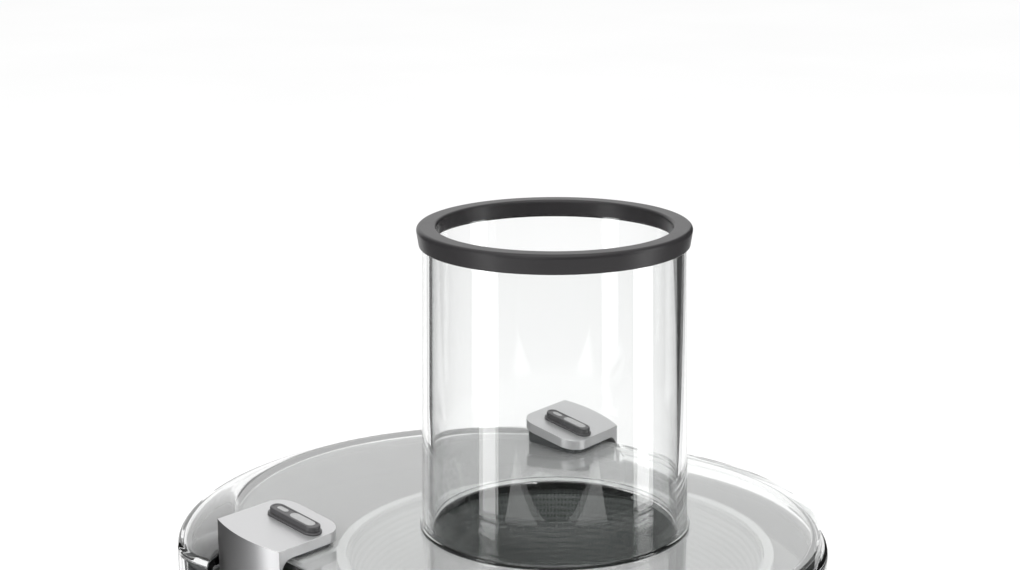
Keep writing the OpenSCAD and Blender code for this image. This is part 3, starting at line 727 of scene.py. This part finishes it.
def rod(name, x, y, z0, z1, radius):
    clearChoice()
    bpy.ops.mesh.primitive_cylinder_add(vertices=160, radius=radius, depth=z1 - z0,
                                        location=(x, y, (z0 + z1) / 2))
    piece = bpy.context.object
    piece.name = name
    bpy.ops.object.transform_apply(location=True, rotation=False, scale=False)
    return piece


def makeLid():
    guide = rimGuide()
    widths = borderWidths(guide)
    wall = lid["wall"]
    shell = rimBlock("lidShell", guide, widths, 0, skirtFoot, lidTop, lid["rimSoft"])
    inside = rimBlock("lidInside", guide, widths, wall, skirtFoot - past / 2, lidTop - wall,
                      lid["insideSoft"])
    for side in (-1, 1):
        carve(shell, notchTool(side, 0, skirtFoot - past, lidTop + past / 2))
        carve(inside, notchTool(side, wall, skirtFoot - past, lidTop + past / 2))
    carve(shell, inside)
    carve(shell, rod("lidHole", axisX, axisY, lidTop - past, lidTop + past, lid["holeR"]))
    tidy(shell, 30)
    shell.visible_shadow = False  # light reaches the bowl through the clear lid
    fit(shell, "root", finishes["clear"], "clear_plastic", "lid_cover")
    finishWhere(shell, finishes["hazedClear"],
                lambda face: face.normal.z > 0.99 and face.center.z > lidTop - 0.1 * mm)


makeLid()
print("lid done")


# the pad's marks are pale inlays, partly icons and partly painted highlight
pad = {"long": 25 * mm, "wide": 7.5 * mm, "high": 3 * mm, "shift": 2.5 * mm, "inset": 12 * mm,
       "flange": 0.7 * mm, "flangeHigh": 0.9 * mm, "soft": 0.5 * mm,
       "marksAndHighlights": ((-6.4 * mm, 5.0 * mm, 2.2 * mm), (3.8 * mm, 11.5 * mm, 3.8 * mm))}  # shift, length, width
lugFoot = {"long": 29 * mm, "wide": 19 * mm, "high": 1.8 * mm, "corner": 3 * mm, "inset": 7.6 * mm,
           "soft": 0.4 * mm, "lugSoft": 0.5 * mm}


def onPlate(side, along, inward, rise):
    # a spot on a clamp's sloping plate: along X, inward from the middle of the pad, and up
    turn = radians(clamp["slope"])
    x = axisX + clamp["x"] + along * cos(turn) + rise * sin(turn)
    z = lidTop + clamp["rise"] - along * sin(turn) + rise * cos(turn)
    y = side * (clamp["outY"] - clamp["reach"] + pad["inset"] - inward)
    return (x, y, z)


def stadium(length, width, steps=10):
    run, radius = (length - width) / 2, width / 2
    spots = []
    for end, start in ((1, -pi / 2), (-1, pi / 2)):
        for k in range(steps + 1):
            angle = start + pi * k / steps
            spots.append((end * run + radius * cos(angle), radius * sin(angle)))
    return spots


def makePad(name, side, body, node):
    long, wide, high, soft, flange = (pad[k] for k in ("long", "wide", "high", "soft", "flange"))
    stack = [(flange, 0), (flange, pad["flangeHigh"] - 0.2 * mm), (flange - 0.25 * mm, pad["flangeHigh"])]
    stack += [(0, pad["flangeHigh"]), (0, high - soft), (-0.2 * soft, high - 0.4 * soft),
              (-0.55 * soft, high - 0.12 * soft), (-soft, high), (-soft - 0.5 * mm, high),
              (-soft - 0.65 * mm, high - 0.15 * mm)]
    rings = []
    for grow, rise in stack:
        outline = stadium(long - 1.4 * mm + 2 * grow, wide - 1.4 * mm + 2 * grow)
        rings.append([onPlate(side, pad["shift"] + u, v, rise) for u, v in outline])
    post = lofted(name, rings, 40)
    marksAndHighlights = []
    # pale inlays on the pad's top: partly icons, partly painted highlight
    for along, markLong, markWide in pad["marksAndHighlights"]:
        rings = []
        for grow, rise in ((0, high - 0.25 * mm), (0, high - 0.05 * mm), (-0.12 * mm, high)):
            outline = stadium(markLong + 2 * grow, markWide + 2 * grow, 6)
            rings.append([onPlate(side, pad["shift"] + along + u, v, rise) for u, v in outline])
        marksAndHighlights.append(lofted(name + "Mark", rings, 40))
    fit(post, body, finishes["pad"], "pad_plastic", node)
    inlay = merged(name + "Inlay", marksAndHighlights)
    fit(inlay, body, finishes["padMark"], "pad_plastic")


def makeClamp(name, node, body):
    piece = copied(name, node, clamp["soft"], 4, 40, 30)
    fit(piece, body, finishes["silver"], "satin_metal", node)
    armY = clamp["outY"] - clamp["thick"] - 0.5 * mm
    # the arm's side faces get the painted shade that darkens along X
    finishWhere(piece, finishes["armSilverPaintedShade"],
                lambda face: abs(face.normal.z) < 0.6 and abs(face.center.y) > armY)


def makeLugs():
    piece = copied("lidLugs", "lid_lugs", lugFoot["lugSoft"])
    parts = [piece]
    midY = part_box("lid_lugs")[1][1] - lugFoot["inset"]
    long, wide = lugFoot["long"] / 2, lugFoot["wide"] / 2
    for side in (-1, 1):
        outline = rounded([(-long, -wide, lugFoot["corner"]), (long, -wide, lugFoot["corner"]),
                           (long, wide, lugFoot["corner"]), (-long, wide, lugFoot["corner"])], 5)
        x, y = axisX + clamp["x"], side * midY
        foot = extruded("lugFoot", [(x + a, y + b, lidTop) for a, b in outline], (0, 0, lugFoot["high"]))
        parts.append(soften(foot, lugFoot["soft"]))
    fit(merged("lidLugs", parts), "root", finishes["smoke"], "smoke_plastic", "lid_lugs")


makeClamp("frontClamp", "clamp_front", "front_clamp")
makeClamp("backClamp", "clamp_back", "back_clamp")
makePad("frontPad", -1, "front_clamp", "pad_front")
makePad("backPad", 1, "back_clamp", "pad_back")
makeLugs()
print("clamps done")


easedEdges = {  # new piece: node, body, finish, slot, width of its eased edges
    "housing": ("base_housing", "root", "housing", "silver_plastic", 0.6 * mm),
    "jacket": ("steel_jacket", "root", "steel", "brushed_steel", 0.25 * mm),
    "plinth": ("base_plinth", "root", "dark", "dark_plastic", 1.0 * mm),
    "basePlate": ("base_plate", "root", "dark", "dark_plastic", 0.4 * mm),
    "feet": ("rubber_feet", "root", "rubber", "black_rubber", 0.8 * mm),
    "bezel": ("knob_bezel", "root", "dark", "dark_plastic", 0.8 * mm),
    "knob": ("speed_knob", "knob", "housing", "satin_metal", 0.8 * mm),
    "inlet": ("cord_inlet", "root", "rubber", "black_rubber", 0.5 * mm),
    "bowl": ("juice_bowl", "root", "grey", "grey_plastic", 0.4 * mm),
    "bowlRim": ("bowl_rim", "root", "rimDark", "basket_plastic", 0.3 * mm),
    "bowlSeal": ("bowl_seal", "root", "seal", "grey_rubber", 0.4 * mm),
    "brackets": ("clamp_brackets", "root", "alloy", "cast_alloy", 0.5 * mm),
    "container": ("pulp_container", "container", "dark", "dark_plastic", 0.6 * mm),
    "band": ("container_band", "container", "housing", "satin_metal", 0.2 * mm),
    "outletTube": ("outlet_tube", "root", "grey", "grey_plastic", 0.4 * mm),
    "dripSpout": ("drip_spout", "spout", "grey", "grey_plastic", 0.6 * mm),
    "basketFrame": ("basket_frame", "spinner", "basket", "basket_plastic", 0.3 * mm),
}
made = {}
for name, (node, body, key, slotName, edge) in easedEdges.items():
    made[name] = fit(copied(name, node, edge), body, finishes[key], slotName, node)
    print(name, "done")

grip = {"lines": 5, "pitch": 7 * mm, "below": 8 * mm, "bite": 0.8 * mm, "radius": 2.2 * mm}
dial = {"dots": 7, "gap": 3.4 * mm, "dotR": 0.9 * mm, "growth": 0.08, "high": 0.35 * mm,
        "markWide": 1.6 * mm, "markLong": 7 * mm, "markDown": 4.5 * mm, "markUp": 0.15 * mm,
        "markDeep": 0.4 * mm, "soft": 0.1 * mm}


def makeGrip():
    # grooves round the container below its band, for the fingers
    centre = (axisX - rim["farX"], axisY)
    outR = centre[0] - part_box("pulp_container")[0][0]
    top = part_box("container_band")[0][2] - grip["below"]
    for k in range(grip["lines"]):
        z = top - grip["pitch"] * k
        outline = [(outR - grip["bite"] + grip["radius"] * (1 + cos(turn)), z + grip["radius"] * sin(turn))
                   for turn in (2 * pi * j / 16 for j in range(16))]
        carve(made["container"], turned("groove", outline, centre=centre))
    tidy(made["container"])


def makeDial():
    # dots round the knob's bezel for the speeds, and a mark on the knob's bar
    low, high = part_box("knob_bezel")
    x, z, reach = (low[0] + high[0]) / 2, (low[2] + high[2]) / 2, (high[0] - low[0]) / 2 + dial["gap"]
    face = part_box("steel_jacket")[0][1]
    dots = []
    for k in range(dial["dots"]):
        turn = radians(90 + 90 * k / (dial["dots"] - 1))
        clearChoice()
        bpy.ops.mesh.primitive_cylinder_add(
            vertices=24, radius=dial["dotR"] * (1 + dial["growth"] * k), depth=2 * dial["high"],
            location=(x + reach * cos(turn), face, z + reach * sin(turn)), rotation=(pi / 2, 0, 0))
        dot = bpy.context.object
        bpy.ops.object.transform_apply(location=True, rotation=True, scale=False)
        dots.append(tidy(dot))
    fit(merged("speedDots", dots), "root", finishes["dark"], "dark_plastic")
    low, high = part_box("speed_knob")
    wide, long = dial["markWide"] / 2, dial["markLong"]
    top = (low[2] + high[2]) / 2 + (high[0] - low[0]) / 2 - dial["markDown"]
    mark = box("knobMark", (x - wide, low[1] - dial["markUp"], top - long),
               (x + wide, low[1] + dial["markDeep"], top))
    fit(soften(mark, dial["soft"]), "knob", finishes["dark"], "dark_plastic")


makeGrip()
makeDial()
print("grip and dial done")


nodeFinish = {
    "rubber": ("shaft_seal",),
    "bright": ("plate_screws", "knob_shaft", "motor_screws", "upper_bearing", "lower_bearing",
               "motor_shaft", "clamp_pins", "spout_pins"),
    "black": ("rotary_switch", "safety_switch", "cooling_fan", "drive_coupling", "carbon_brushes"),
    "board": ("control_board",),
    "alloy": ("motor_frame",),
    "iron": ("stator_core", "rotor_core"),
    "copper": ("field_coils", "rotor_windings", "commutator"),
    "brass": ("brush_holders",),
    "basket": ("basket_hub",),
    "mesh": ("filter_basket",),
    "grater": ("grating_disc",),
}
for key, names in nodeFinish.items():
    for name in names:
        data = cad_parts[name].data
        data.materials.clear()
        data.materials.append(finishes[key])
print("nodes finished")
